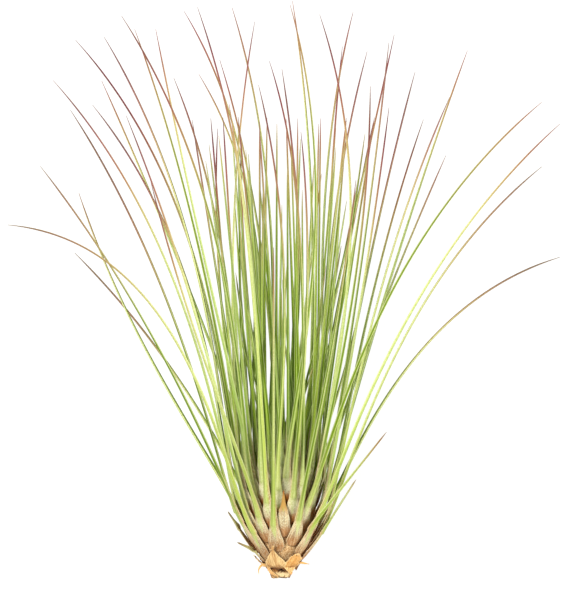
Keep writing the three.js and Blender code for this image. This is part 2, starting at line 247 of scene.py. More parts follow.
wood, start, shader = new_material("torn stem wood", **{"Roughness": 0.85, "Specular IOR Level": 0.1})
fibres = start.noise(start.place((1.6, 0.3, 1.6)), detail=5)
pits = start.noise(start.place((0.8, 0.6, 0.8)), detail=3).step(0.5, 0.36)
torn = start.attribute("torn")
hollow = start.attribute("hollow")
bark = fibres.step(0.38, 0.62).mix(WOOD_BROWN, WOOD_TAN)
face = (torn * (fibres.step(0.2, 0.5) * 0.4 + 0.6)).mix(bark, TORN_CREAM)
face = (pits * 0.75).mix(face, WOOD_BROWN)
# Painted shade: the hollow end and the dent are darkened to deep brown
face = hollow.mix(face, WOOD_SHADE_DARK)
start.fill(shader, {"Base Color": face, "Normal": bumped(start, fibres, 0.5)})

# Rows run from the joint with the bulb, down the outside, over the torn rim and into the hollow. Bark is
# torn off the side that lies up, which leaves pale wood there, and a dent under the dry sheaths. The hollow
# and the dent get painted shade, a deep brown.
travel = np.linspace(0, 1, STUB_ROWS)[:, None]
turn = np.linspace(0, 1, STUB_SIDES, endpoint=False)[None, :]
outside = np.clip(travel / STUB_OUTSIDE, 0, 1)
inside = np.clip((travel - STUB_OUTSIDE) / (1 - STUB_OUTSIDE), 0, 1)
upside = np.exp(-(((turn - BARED_SIDE) / BARED_WIDTH) ** 2))
teeth = 0.5 * ragged(turn, 23, 3) + 0.5 * ragged(turn, 9, 4)
rim = RIM_ALONG + RIM_RAGGED * teeth + RIM_TORN_BACK * upside
stub_along = STUB_TOP + (rim - STUB_TOP) * outside**0.8 + (STUB_HOLLOW_DEPTH - rim) * inside**1.5
dent = upside * np.exp(-(((stub_along - DENT_ALONG) / DENT_LENGTH) ** 2))
stub_radius = STUB_TOP_RADIUS + (STUB_END_RADIUS - STUB_TOP_RADIUS) * outside
stub_radius = stub_radius - RIM_WORN * outside**6 - DENT_DEPTH * dent
stub_radius = stub_radius * (1 - inside) + STUB_HOLLOW_RADIUS * inside
stub_radius = stub_radius + BARK_LUMPS * rolling(25 * turn, 2 * travel, 5) * (1 - inside)
stub_radius = stub_radius + BARK_SPLINTERS * ragged(turn, 61, 8) * outside * (1 - inside)
bared = np.clip((BARED_LENGTH + BARED_RAGGED * ragged(turn, 17, 6) - stub_along) / BARED_EDGE, 0, 1)
bared = bared * np.clip(upside * 1.6, 0.25, 1)
stub_points = with_poles(
    round_stem(stub_radius, stub_along, turn, STUB_ASIDE),
    (STUB_ASIDE, STUB_TOP, stem_height(STUB_TOP)),
    (STUB_ASIDE, STUB_HOLLOW_DEPTH, stem_height(STUB_HOLLOW_DEPTH)),
)
add_piece(
    "torn_stem", in_frame(stub_points), closed_skin(STUB_ROWS, STUB_SIDES), wood, "stem", "stem_stub",
    torn=with_poles(bared * (1 - 0.7 * inside), 0, 0),
    hollow=with_poles(np.clip(1.3 * (inside + dent), 0, 1), 0, 1),
)


# Leaves: each is one piece, a broad scale-like sheath that wraps the bulb and a long channelled blade.
# They grow in a spiral from the oldest, outermost one, and each keeps its share of the bulb's radius,
# so the sheaths nest. Leaves that would reach below the surface lie on it.
SEPARATE_LEAVES = 56
YOUNG_LEAVES = 64  # they grow together in the heart
LEAF_COUNT = SEPARATE_LEAVES + YOUNG_LEAVES
AGE_STEP = 1 / 96  # from one separate leaf to the next, where the whole spiral is 1
GOLDEN_ANGLE = np.radians(137.508)
FIRST_ANGLE = np.radians(218)  # 0 points right and 90 up
ROOT_LOW = 8
ROOT_HIGH = 54
ROOT_CROWDING = 0.85  # under 1, the youngest roots crowd together at the top
BULB_NECK = 0.5
BULB_SWELL = 17
BULB_SWELL_LENGTH = 16
BULB_FLARE = 0.23  # radius for each millimetre along
LYING_HEIGHT = 0.3  # middle of a leaf that is pressed to the surface
LYING_SOFTNESS = 0.6
# Sheaths
SHEATH_LENGTH = 13
SHEATH_HALF_WIDTH = 4.1
SHEATH_HALF_ANGLE = 0.27  # radians of the bulb that one sheath covers, each way
SHEATH_LAP = 0.17  # how fast a sheath lifts off those inside it
SHEATH_CLOSING = 1.014  # its width falls to the blade's as the squared cosine does up to this angle
SHEATH_HALF_THICKNESS = 0.32
SHEATH_FOLD = 0.2  # how much deeper the keel and the edges are at the sheath's upper end
SHORT_SHEATH = 0.6  # of the length of a leaf that is too short for a whole sheath
ROOT_PART = 0.2  # of a sheath, which narrows towards its root, and by how much it does
ROOT_NARROWING = 0.4
# Blades
BLADE_HALF_WIDTH = 1.3
SHOULDER = 20  # how far up the blade its sheath's last width dies away
TIP_HALF_WIDTH = 0.36
TAPER = 1.2  # over 1, a blade narrows faster in its lower half
NEEDLE = 0.06  # the last part of a blade, which runs out to a point
NEEDLE_END = 0.08
BLADE_THICKNESS = 1.5
TIP_THICKNESS = 0.6
YOUNG_THINNER = 0.1  # how much narrower the blade of the youngest leaf is
UNEVEN = 0.02  # how much a leaf's width wavers
TWIST = 0.7  # radians, the most that a blade turns on the way to its tip
KEEL = 0.6  # keel, edges and groove off the middle line, in thicknesses
EDGE = 0.35
GROOVE_AT_TIP = 0.4
GROOVE_AT_FOOT = 0.15
SHEATH_FULLNESS = 1.1  # the crescent's skin: under 1 it is full up to its edges
BLADE_FULLNESS = 0.5
# The blade's curve
START_OPENING = 0.8  # of the bulb's slope, so it starts more upright than the bulb flares
START_TURN = 0.6  # of the way to the tip, seen in plan
START_HANDLE = 0.15  # of the run from foot to tip
TIP_HANDLE = 0.45
BOW = 0.61  # of the depth of the run, under 1 the tip bends outwards
BOW_STRAY = 0.1
# How far the tips reach
REACH_ACROSS = 128
FAN = 0.4  # under 1, the leaves in front and behind spread to the sides
SIDE_STRAY = 70
INNER_CLOSING = 0.8  # under 1, the inner leaves keep a spread of their own round the young ones
REACH_UP = 100
SAG = 0.4  # under 1, the lower leaves hang towards the surface
PRESS = 15  # how far the lowest tips would reach below the surface if it were not there
TALLEST = 276
OUTER_DROP = 95  # how much lower the outermost tips are
TALL_STRAY = 20
DEPTH_STRAY = 0.2
YOUNG_LONGEST = 170
YOUNG_SHORTEST = 35
YOUNG_FALL = 2  # over 1, few of the young leaves are short
YOUNG_SPLAY = 1.8  # how far out their tips lean, in radii of their feet
YOUNG_STRAY = 26
SHEATH_ROWS = 20
BLADE_ROWS = 64
LEAF_SIDES = 16
# Tips of the full-grown leaves as they lie in plan: across, along, and the way that they point there,
# in degrees to the right of straight along
TIPS = [
    (5, 278, -9), (4, 274, -16), (-47, 273, -31), (-40, 273, -19), (-24, 275, -17), (-13, 267, 10),
    (-76, 269, -33), (-70, 263, -20), (-60, 263, -11), (-99, 259, -42), (-85, 260, -31), (-109, 239, -42),
    (-87, 240, -24), (-91, 228, -39), (-101, 225, -33), (-74, 222, -22), (-52, 241, -22), (-40, 243, -31),
    (-30, 250, -17), (-6, 249, -18), (0, 244, -9), (-11, 236, -14), (-31, 217, 3), (-25, 227, -9),
    (-20, 211, 0), (-115, 198, -38), (-98, 186, -18), (-130, 170, -85), (-100, 157, -45), (-62, 190, -14),
    (-4, 159, 0), (18, 270, -19), (34, 272, 14), (41, 254, 15), (42, 236, 0), (54, 262, 12), (51, 257, 6),
    (64, 244, 15), (51, 226, 7), (68, 221, 19), (44, 220, 11), (89, 254, 20), (80, 231, 24), (79, 204, 24),
    (123, 228, 50), (132, 218, 48), (124, 198, 51), (134, 155, 73), (29, 256, 6), (9, 214, -6),
    (42, 154, 9), (19, 195, 7), (39, 205, 9), (35, 191, 6),
]
# Old short leaves: place in the spiral, how many degrees the leaf is pushed round, its tip as across,
# along and depth, and how withered it is
SHORT_LEAVES = {
    0: (-58, -21.5, 17.8, 13, 0.4), 1: (24, 35.5, 48, 12, 0.15), 4: (0, 50, 71, 28, 0.1),
    5: (0, -26, 32.6, 9, 0.3), 20: (0, 0.8, 43, 24.8, 1.0),
}


def bulb_radius(along):
    """Outer radius of the bulb: neck + swell (1 - e^(-along / length)) + flare along."""
    return BULB_NECK + BULB_SWELL * (1 - np.exp(-along / BULB_SWELL_LENGTH)) + BULB_FLARE * along


def bulb_slope(along):
    """How fast that radius grows: (swell / length) e^(-along / length) + flare."""
    return BULB_SWELL / BULB_SWELL_LENGTH * np.exp(-along / BULB_SWELL_LENGTH) + BULB_FLARE


def draws(count, seed=439):
    """Numbers from -0.5 to 0.5, each seed the last one times 16807, modulo 2^31 - 1."""
    found = []
    for _ in range(count):
        seed = seed * 16807 % 2147483647
        found.append(seed / 2147483647 - 0.5)
    return found


# Age runs from 0 outside to 1 in the middle. The young leaves crowd where the separate ones end
place = np.arange(LEAF_COUNT)
young_part = (place + 0.5 - SEPARATE_LEAVES) / YOUNG_LEAVES
young_start = SEPARATE_LEAVES * AGE_STEP
age = np.where(young_part < 0, (place + 0.5) * AGE_STEP, young_start + (1 - young_start) * young_part)
angle = FIRST_ANGLE + place * GOLDEN_ANGLE
share = np.sqrt(1 - age)
root = ROOT_LOW + age**ROOT_CROWDING * (ROOT_HIGH - ROOT_LOW)
sheath = np.full(LEAF_COUNT, SHEATH_LENGTH)
lift_draw, tall_draw, bow_draw = np.reshape(draws(3 * LEAF_COUNT), (LEAF_COUNT, 3)).T
tip = np.zeros((LEAF_COUNT, 3))

# Full-grown leaves: a place for each tip by the leaf's place in the spiral, and then the nearest tips,
# swapped in pairs until no swap brings them nearer
grown = [i for i in range(LEAF_COUNT) if i not in SHORT_LEAVES][: len(TIPS)]
spread = np.sqrt(1 - INNER_CLOSING * (np.arange(len(TIPS)) + 0.5) / len(TIPS))
side = np.cos(angle[grown])
want_across = REACH_ACROSS * spread * np.sign(side) * np.abs(side) ** FAN + SIDE_STRAY * bow_draw[grown]
want_along = TALLEST - OUTER_DROP * spread**3 + TALL_STRAY * tall_draw[grown]
shared = list(TIPS)


def miss(rank, point):
    """Squared distance of a tip from the place that the leaf of that rank would have."""
    return (point[0] - want_across[rank]) ** 2 + (point[1] - want_along[rank]) ** 2


swapped = True
while swapped:
    swapped = False
    for a in range(len(grown)):
        for b in range(a):
            now = miss(a, shared[a]) + miss(b, shared[b])
            if miss(a, shared[b]) + miss(b, shared[a]) < now - 1e-9:
                shared[a], shared[b] = shared[b], shared[a]
                swapped = True

across, along, lean = np.array(shared, float).T
up = np.sin(angle[grown])
room = -(stem_height(along) + PRESS) * np.maximum(-up, 0) ** SAG
depth = spread * np.where(up > 0, REACH_UP * up, room) * (1 + DEPTH_STRAY * lift_draw[grown])
tip[grown] = np.stack([across, along, depth], axis=-1)
lean_of = dict(zip(grown, np.radians(lean)))

for i, (pushed, *point, _) in SHORT_LEAVES.items():
    angle[i] += np.radians(pushed)
    sheath[i] = min(SHEATH_LENGTH, SHORT_SHEATH * (point[1] - root[i]))
    tip[i] = point


def sheath_line(i, x):
    """Middle line of sheath i, x above its root: radius = the bulb's, times the leaf's share, + lap x."""
    radius = bulb_radius(root[i] + x) * share[i] + SHEATH_LAP * np.maximum(x, 0)
    return np.stack([radius * np.cos(angle[i]), root[i] + x, radius * np.sin(angle[i])], axis=-1)


young = [i for i in range(LEAF_COUNT) if i not in SHORT_LEAVES and i not in grown]
for rank, i in enumerate(young):
    foot = sheath_line(i, sheath[i])
    length = YOUNG_LONGEST + (YOUNG_SHORTEST - YOUNG_LONGEST) * (rank / (len(young) - 1)) ** YOUNG_FALL
    stray = YOUNG_STRAY * np.array([tall_draw[i], 0, lift_draw[i]])
    tip[i] = foot * (YOUNG_SPLAY, 1, YOUNG_SPLAY) + (0, length, 0) + stray


def blade_line(i, t):
    """Middle line of blade i from t = 0 at its sheath to t = 1 at its tip.

    A cubic Bezier curve, (1-t)^3 a + 3 t (1-t)^2 b + 3 t^2 (1-t) c + t^3 d. Here a is the foot, and b lies
    ahead of it, more upright than the bulb flares and turned part of the way to the tip. The tip is d, and c
    lies behind it against its lean. A leaf without a lean of its own ends straight.
    """
    foot = sheath_line(i, sheath[i])
    run = tip[i] - foot
    slope = START_OPENING * bulb_slope(foot[1]) * share[i]
    aside = slope * np.cos(angle[i]) * (1 - START_TURN) + run[0] / run[1] * START_TURN
    ahead = np.array([aside, 1, slope * np.sin(angle[i])])
    length = np.linalg.norm(run)
    lean = lean_of.get(i, np.arctan2(run[0], run[1]))
    b = foot + ahead / np.linalg.norm(ahead) * START_HANDLE * length
    c_across = tip[i, 0] - TIP_HANDLE * length * np.sin(lean)
    c_along = tip[i, 1] - TIP_HANDLE * length * np.cos(lean)
    c = np.array([c_across, c_along, foot[2] + (BOW + BOW_STRAY * bow_draw[i]) * run[2]])
    t = t[:, None]
    return (1 - t) ** 3 * foot + 3 * t * (1 - t) ** 2 * b + 3 * t**2 * (1 - t) * c + t**3 * tip[i]


def laid(points):
    """Depth over the stem to height over the surface: low + soft ln(1 + e^((stem + depth - low) / soft))."""
    over = (stem_height(points[:, 1]) + points[:, 2] - LYING_HEIGHT) / LYING_SOFTNESS
    height = LYING_HEIGHT + LYING_SOFTNESS * np.logaddexp(0, over)
    return np.stack([points[:, 0], points[:, 1], height], axis=-1)


def leaf_skin(i, start, rooted_by=0):
    """Points, faces and values of leaf i: a closed crescent carried along its sheath and its blade.

    Round the crescent s = cos a goes from edge to edge and back. Its middle is m0 - m1 s^2, so the edges bend
    inwards, and its skin lies h (1 - s^2)^fullness off it, outside where sin a > 0 and inside elsewhere.
    """
    part = np.linspace(0, 1, SHEATH_ROWS, endpoint=False)
    t = np.linspace(0, 1, BLADE_ROWS)
    x = part * sheath[i] - rooted_by * (1 - part) ** 4
    flat = sheath_line(i, x)
    line = laid(np.concatenate([flat, blade_line(i, t)]))
    steps = np.linalg.norm(np.diff(line, axis=0), axis=1)
    reach = np.concatenate([[0], np.cumsum(steps)])
    from_sheath = reach - reach[SHEATH_ROWS]
    vigour = 1 - YOUNG_THINNER * age[i] ** 2
    soft = np.random.default_rng(i)

    # Sheath sections
    radius = np.hypot(flat[:, 0], flat[:, 2])
    full = np.minimum(SHEATH_HALF_WIDTH, SHEATH_HALF_ANGLE * radius)
    foot_width = BLADE_HALF_WIDTH * vigour
    sheath_width = foot_width + (full - foot_width) * np.cos(SHEATH_CLOSING * part) ** 2
    sheath_keel = SHEATH_HALF_THICKNESS + SHEATH_FOLD * part
    sheath_edge = sheath_width**2 / (2 * radius) + SHEATH_FOLD * part
    sheath_groove = SHEATH_HALF_THICKNESS * (1 - part / 2)

    # Blade sections
    left = 1 - t
    needle = np.clip(left / NEEDLE, NEEDLE_END, 1) ** 0.5
    thickness = (TIP_THICKNESS + (BLADE_THICKNESS - TIP_THICKNESS) * left) * needle
    shoulder = (sheath_width[-1] - foot_width) * np.maximum(1 - from_sheath[SHEATH_ROWS:] / SHOULDER, 0) ** 2
    blade_width = (TIP_HALF_WIDTH + (foot_width - TIP_HALF_WIDTH + shoulder) * left**TAPER) * needle
    blade_groove = thickness * (GROOVE_AT_TIP + (GROOVE_AT_FOOT - GROOVE_AT_TIP) * left)

    width = np.concatenate([sheath_width, blade_width])
    keel = np.concatenate([sheath_keel, KEEL * thickness])
    edge = np.concatenate([sheath_edge, EDGE * thickness])
    groove = np.concatenate([sheath_groove, blade_groove])
    grow = np.where(from_sheath < 0, from_sheath / reach[SHEATH_ROWS], from_sheath / from_sheath[-1])
    lobes = np.sin(soft.uniform(5, 9) * grow + soft.uniform(0, 6)) + np.sin(soft.uniform(14, 22) * grow)
    width = width * (1 + UNEVEN * lobes)

    # Crescent round each point of the middle line
    turn = 2 * np.pi * np.arange(LEAF_SIDES) / LEAF_SIDES
    s, lift = np.cos(turn), np.sin(turn)
    width = width * (1 - ROOT_NARROWING * np.maximum(ROOT_PART - 1 - grow, 0) / ROOT_PART)
    fullness = np.interp(grow, [-1, 0.05], [SHEATH_FULLNESS, BLADE_FULLNESS])[:, None]
    middle = (keel - groove)[:, None] / 2 - (edge + (keel - groove) / 2)[:, None] * s**2
    skin = (keel + groove)[:, None] / 2 * np.maximum(1 - s**2, 1e-6) ** fullness * np.sign(np.round(lift, 6))
    forward = np.gradient(line, axis=0)
    forward /= np.linalg.norm(forward, axis=1, keepdims=True)
    out = line - np.stack([0 * line[:, 0], line[:, 1], stem_height(line[:, 1])], axis=-1)
    out -= np.sum(out * forward, axis=1, keepdims=True) * forward
    out /= np.linalg.norm(out, axis=1, keepdims=True)
    sideways = np.cross(forward, out)
    twist = TWIST * soft.uniform(-1, 1) * np.clip(grow, 0, 1) ** 1.5
    outwards = out * np.cos(twist)[:, None] + sideways * np.sin(twist)[:, None]
    sideways = sideways * np.cos(twist)[:, None] - out * np.sin(twist)[:, None]
    points = (
        line[:, None]
        + sideways[:, None] * (width[:, None] * s)[..., None]
        + outwards[:, None] * (middle + skin)[..., None]
    )
    rows = len(line)
    end = line[-1] + 0.4 * forward[-1]
    points = with_poles(points, line[0], end)
    points[:, 2] = np.maximum(points[:, 2], 0)

    ones = np.ones((rows, LEAF_SIDES))
    values = {
        "grow": with_poles(grow[:, None] * ones, -1, 1),
        "across": with_poles(s * ones, 0, 0),
        "outer": with_poles((0.5 + 0.5 * np.sign(np.round(lift, 6))) * ones, 0, 1),
        "reach": with_poles(reach[:, None] * ones, 0, reach[-1]),
        "tone": with_poles(soft.uniform(0, 1) * ones, 0, 0),
        "youth": with_poles(age[i] * ones, 0, 0),
        "withered": with_poles(SHORT_LEAVES.get(i, (0,))[-1] * ones, 0, 0),
    }
    for key in ("tone", "youth", "withered"):
        values[key][[0, -1]] = values[key][1]
    return in_frame(points), closed_skin(rows, LEAF_SIDES, start), values


SHEATH_BROWN = (148, 108, 68)
SHEATH_BEIGE = (202, 172, 126)
SHEATH_PINK = (196, 148, 106)
SCURF_GREY = (222, 212, 182)
STRIPE_BROWN = (112, 76, 46)
FOOT_AMBER = (184, 118, 62)
SHEATH_EDGE = (240, 222, 184)
SHEATH_GREEN = (174, 190, 92)
# A blade's colours from its middle to its tip, with the place of each along it
TIPWARDS = [
    (0.6, (174, 176, 92)), (0.72, (176, 152, 92)), (0.81, (160, 112, 84)), (0.89, (142, 76, 80)),
    (0.95, (122, 52, 74)), (1.0, (104, 38, 62)),
]
COOL_GREEN = (152, 186, 106)
DUSKY_AND_SHADE_GREEN = (128, 142, 50)
INNER_LIGHT_GREEN = (194, 208, 112)
SHADE_GREEN = (88, 118, 10)
SHADE_BROWN = (122, 92, 52)
VEIN_GREEN = (112, 138, 34)
# Painted highlights on blade edges and keel, then pale tints that carry painted light too
EDGE_HIGHLIGHT = (234, 240, 184)
KEEL_HIGHLIGHT = (222, 230, 170)
FROST_AND_LIGHT_PALE = (230, 234, 182)
BLOOM_AND_LIGHT_PALE = (232, 230, 196)
FADED_KHAKI = (192, 184, 134)
DYING_KHAKI = (146, 124, 84)
DEAD_STRAW = (188, 146, 80)
DEAD_BROWN = (150, 92, 46)


def leaf_material(name, low, middle):
    """Leaf tissue: a scurfy striped sheath and a yellow-green blade that is crimson at its tip.

    At each point of a leaf, grow goes from -1 at its root to 0 where the blade starts and 1 at the tip,
    across goes from -1 to 1 between its edges, and reach is the distance from the root in millimetres. Outer
    is 1 on the leaf's back, youth goes from 0 for the oldest leaf to 1 for the youngest, withered tells how
    dead it is, and tone is its own chance number.
    """
    material, start, shader = new_material(name, **{"Specular IOR Level": 0.1})
    grow, across, outer, reach, tone, youth, withered = map(
        start.attribute, ("grow", "across", "outer", "reach", "tone", "youth", "withered")
    )
    from_keel = across.math("ABSOLUTE")
    streaks = start.noise(start.vector(across * 2.5, reach * 0.06, tone * 60), detail=3)
    lines = start.noise(start.vector(across * 9, reach * 0.12, tone * 90), detail=2)
    scurf = start.noise(start.place((1.6, 0.7, 1.6)), detail=4, roughness=0.7)

    # Sheath: beige with pinkish brown stripes, amber at its foot, grey scurf and a pale thin margin
    flesh = streaks.step(0.35, 0.62).mix(SHEATH_BROWN, SHEATH_BEIGE)
    flesh = (from_keel.step(0.35, 0.8) * 0.5).mix(flesh, SHEATH_PINK)
    flesh = (scurf.step(0.46, 0.6) * outer * 0.55).mix(flesh, SCURF_GREY)
    flesh = (lines.step(0.48, 0.36) * 0.75).mix(flesh, STRIPE_BROWN)
    flesh = ((grow + streaks * 0.3).step(-0.25, -0.75) * (youth * 1.8 + 0.2)).mix(flesh, FOOT_AMBER)
    flesh = (from_keel.step(0.86, 0.97) * 0.5).mix(flesh, SHEATH_EDGE)

    # The blade's green runs down its keel in a point
    aslant = across * (tone - 0.5) * 0.7
    greening = grow + from_keel * -0.75 + aslant + tone * 0.3 + streaks * 0.4 + youth * 0.1 - withered * 0.5
    sheathing = (greening.step(-0.35, -0.05) * 0.85).mix(flesh, SHEATH_GREEN)

    # Blade: yellow-green, then olive, ochre and crimson towards its tip, one side warmer than the other
    warmth = grow + (tone - 0.5) * 0.26 + (streaks - 0.5) * 0.1 + across * (tone - 0.4) * 0.12
    warmth = warmth - youth.step(0.5, 0.85) * 0.3 - withered.step(0.0, 0.3) * 0.25
    stops = [(0.0, low), (0.42, middle), *TIPWARDS]
    green = start.node("ValToRGB", {"stops": stops}, {0: warmth}, "Color")

    # Leaves differ: some are cooler and some duller at random. The oldest, outermost leaves are dulled too,
    # as painted shade that tones down the full light on them, and the inner ones after them are paled, as
    # painted light in the tuft's shaded middle
    cool = (tone * 7.31).math("FRACT").step(0.4, 0.8) * (1 - warmth.step(0.45, 0.75)) * 0.65
    green = cool.mix(green, COOL_GREEN)
    dusky = (tone * 5.17).math("FRACT").step(0.4, 1.0) * (1 - warmth.step(0.45, 0.75)) * 0.35
    green = (dusky + (1 - youth.step(0.02, 0.3)) * 0.25).mix(green, DUSKY_AND_SHADE_GREEN)
    inner_light = youth.step(0.15, 0.4) * youth.step(0.62, 0.56) * (1 - warmth.step(0.5, 0.8))
    green = (inner_light * 0.3).mix(green, INNER_LIGHT_GREEN)

    # One side of the channel is painted shade in deep green, and the other has veins, painted highlights
    # on its pale edges and keel, and frost that also carries painted light on that lit side
    shaded = (across * ((tone * 3.7).math("FRACT").step(0.45, 0.55) * 2 - 1)).step(-0.05, 0.5)
    shaded = shaded * (1 - warmth.step(0.6, 0.9) * 0.7) * (1 - withered.step(0.0, 0.2))
    green = (shaded * 0.88).mix(green, warmth.step(0.5, 0.85).mix(SHADE_GREEN, SHADE_BROWN))
    blade = (lines.step(0.42, 0.6) * (1 - warmth.step(0.4, 0.8)) * 0.35).mix(green, VEIN_GREEN)
    # Painted highlights: pale lines along the blade's edges and, on its back, along the keel
    edges = from_keel.step(0.78, 0.96) * (1 - warmth.step(0.5, 0.9) * 0.7)
    blade = (edges * 0.5).mix(blade, EDGE_HIGHLIGHT)
    blade = (from_keel.step(0.22, 0.04) * outer * 0.25).mix(blade, KEEL_HIGHLIGHT)
    # Frost: pale scurf, plus an even paling as painted light, only on the side without painted shade
    frost_and_light = (scurf.step(0.42, 0.7) * 0.4 + 0.2) * (1 - warmth.step(0.6, 0.85)) * (1 - shaded)
    frost_and_light = frost_and_light * (grow.step(0.05, 0.4) * 0.8 + 0.2) * (1 - youth.step(0.56, 0.62) * 0.6)
    blade = frost_and_light.mix(blade, FROST_AND_LIGHT_PALE)

    # The blade over the sheath, and a pale bloom of scales where they meet, made stronger on the inner
    # leaves as painted light in the bulb's shaded middle
    bladed = (grow + from_keel * -0.12 + (lines - 0.5) * 0.2).step(-0.12, 0.06)
    leaf = (bladed * (1 - withered.step(0.6, 1.0))).mix(sheathing, blade)
    bloom_and_light = grow.step(-0.75, -0.4) * grow.step(0.18, -0.3) * (scurf.step(0.4, 0.6) * 0.6 + 0.4)
    leaf = (bloom_and_light * outer * (youth * 1.9 + 0.25)).mix(leaf, BLOOM_AND_LIGHT_PALE)

    # Withered leaves fade to khaki and turn orange brown from the tip down
    faded = grow.step(-0.6, 0.0) * withered.step(0.1, 0.3) * (1 - withered.step(0.5, 0.9))
    leaf = (faded * 0.9).mix(leaf, FADED_KHAKI)
    dead = (grow + withered * 0.9 + (streaks - 0.5) * 0.4).step(0.75, 1.25) * withered.step(0.0, 0.3)
    leaf = dead.mix(leaf, withered.step(0.4, 0.8).mix(DYING_KHAKI, DEAD_STRAW))
    leaf = (grow + withered * 0.6).step(1.25, 1.6).mix(leaf, DEAD_BROWN)
    height = lines * 0.7 + scurf * 0.3
    rough = grow.step(-0.1, 0.3) * -0.18 + 0.66
    start.fill(shader, {"Base Color": leaf, "Roughness": rough, "Normal": bumped(start, height, 0.15)})
    return material


grown_tissue = leaf_material("grown leaf", low=(174, 198, 60), middle=(180, 198, 92))
for i in range(SEPARATE_LEAVES):
    points, faces, values = leaf_skin(i, 0)
    number = f"{i + 1:02d}"
    add_piece(f"rush_leaf_{number}", points, faces, grown_tissue, "leaf", f"leaf_{number}", **values)


# Heart: the young leaves, still upright in the middle of the tuft, and the core of packed inner
# sheaths that they grow from.
ROOTED_BY = 6  # how deep the young leaves are rooted in the core
CORE_GAP = 0.9  # between the core and the sheaths round it
CORE_START = 7.3
CORE_RIBS = 24
CORE_RIB_DEPTH = 0.12
CORE_RIB_LEAN = 0.35  # radians for each millimetre along
CORE_ROWS = 60
CORE_SIDES = 96
CORE_BROWN = (176, 130, 82)
CORE_BEIGE = (230, 198, 152)

young_tissue = leaf_material("young leaf", low=(154, 190, 20), middle=(142, 174, 26))
skins = []
first_point = 0
for i in range(SEPARATE_LEAVES, LEAF_COUNT):
    skin = leaf_skin(i, first_point, ROOTED_BY)
    skins.append(skin)
    first_point += len(skin[0])
add_piece(
    "young_leaves",
    np.concatenate([skin[0] for skin in skins]),
    [face for skin in skins for face in skin[1]],
    young_tissue,
    "young_leaf",
    "heart_leaves",
    **{key: np.concatenate([skin[2][key] for skin in skins]) for key in skins[0][2]},
)

matte = {"Roughness": 0.8, "Specular IOR Level": 0.1}
old_tissue, start, shader = new_material("packed old sheaths", **matte)
stripes = start.noise(start.place((1.6, 0.12, 1.6)), detail=4)
packed = stripes.step(0.35, 0.65).mix(CORE_BROWN, CORE_BEIGE)
start.fill(shader, {"Base Color": packed, "Normal": bumped(start, stripes, 0.3)})

# At each place along the stem the core fills the bulb inside the sheath that is rooted there, with low ribs
core_along = np.linspace(CORE_START, ROOT_HIGH - 1, CORE_ROWS)[:, None]
core_age = np.clip((core_along - ROOT_LOW) / (ROOT_HIGH - ROOT_LOW), 0, 1) ** (1 / ROOT_CROWDING)
turn = np.arange(CORE_SIDES)[None, :] / CORE_SIDES
ribs = np.cos(2 * np.pi * CORE_RIBS * turn + CORE_RIB_LEAN * core_along)
core_radius = bulb_radius(core_along) * np.sqrt(1 - core_age) - CORE_GAP + CORE_RIB_DEPTH * ribs
core_points = with_poles(
    round_stem(core_radius, core_along, turn),
    (0, CORE_START, stem_height(CORE_START)),
    (0, ROOT_HIGH, stem_height(ROOT_HIGH)),
)
add_piece(
    "bulb_core", in_frame(core_points), closed_skin(CORE_ROWS, CORE_SIDES), old_tissue, "young_leaf",
    "heart_leaves",
)


# Dry sheaths: torn, papery remains of the oldest leaves. Plates stand up from a ring round the stem's
# neck, flaps hang from it over the stub, and two torn strips curl away. They are one withered skin.
DRY_CLEAR = 1  # between the bulb's outer radius and the plates
DRY_ROOT = 5.6  # along the stem, where the plates part from the ring
DRY_SUNK = 0.8  # how deep a plate's root is sunk in the ring
HANGING_ROOT = 6.6
HANGING_RADIUS = 6.9  # at the broken end
HANGING_FLARE = 0.06
DRY_MIDDLE = 0.385  # from a plate's inner radius to the middle of its thickness
PAPER_HALF_THICKNESS = 0.34
PLATE_END = 0.04  # of its half width
TORN_ASIDE = 0.16
TORN_END = 0.6
CURLED = 0.55
CRUMPLED = 0.5
PLATE_ROWS = 44
PLATE_SIDES = 52
# Each plate and flap: direction and half width in degrees round the stem, how far along its tip is, how
# far the tip leans round, how fast it narrows, where 1 is a triangle and less is blunt, and how grey it is
PLATES = [
    (109, 47, 16.3, -5, 1.9, 0.0), (59, 26, 12, 2, 0.45, 0.0), (172, 16, 11.5, -6, 1, 0.7),
    (218, 26, 12.6, 8, 1.1, 0.6), (262, 28, 13.6, -6, 1.2, 0.4), (312, 24, 12.4, 6, 1, 0.5),
]
FLAPS = [
    (150, 13, 1.2, -46, 0.3, 0.2), (60, 30, 1.9, -5, 1, 0.0), (250, 24, 2.6, 8, 1.1, 0.5),
    (305, 20, 3, -6, 1, 0.4),
]
STRIP_HALF_WIDTH = 0.9
STRIP_THICKNESS = 0.8
STRIPS = [
    [(-7.2, 6.6, 2.8), (-9.8, 6.6, 3.4), (-11.2, 4.6, 3.6), (-11.1, 2, 3.4)],
    [(5.6, 6.8, 4.9), (8.5, 7.9, 5.4), (11, 7.6, 5.3), (13.2, 7.2, 5)],
]
STRIP_ROWS = 40
STRIP_SIDES = 12
STRIP_LENGTH = 12  # about, for the pattern along it
STRAW_BROWN = (188, 132, 72)
STRAW_PALE = (242, 210, 152)
HAIR_BROWN = (158, 102, 50)
BLOTCH_ORANGE = (232, 168, 92)
WEATHERED_GREY = (186, 170, 144)
HONEY = (226, 160, 78)
ROOT_BROWN = (120, 64, 26)
TORN_RIM = (248, 218, 166)
# painted shade on faces towards the bulb and in the neck
PAPER_SHADE_BROWN = (84, 38, 12)

